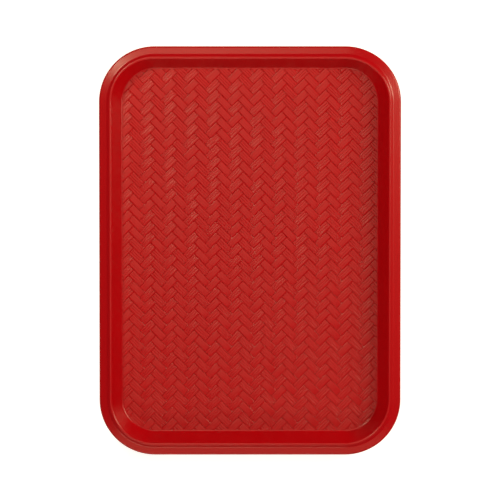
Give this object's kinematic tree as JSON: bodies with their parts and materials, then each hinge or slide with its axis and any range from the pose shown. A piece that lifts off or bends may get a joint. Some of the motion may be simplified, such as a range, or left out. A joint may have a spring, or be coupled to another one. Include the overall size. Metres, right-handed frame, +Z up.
{
  "type": "fast food tray",
  "caption": "Shallow rectangular serving tray, rounded corners, sloping wall, raised rim with a turned-down edge, herringbone basketweave floor.",
  "frame": {"origin": "middle of the underside, on the table", "axes": "+Z up out of the tray, +Y along its length, +X across its width"},
  "size_m": [0.3016, 0.4096, 0.024],
  "materials": {
    "tray": "satin red polypropylene, as moulded"
  },
  "bodies": {
    "root": {"tray": "tray"}
  },
  "joints": []
}
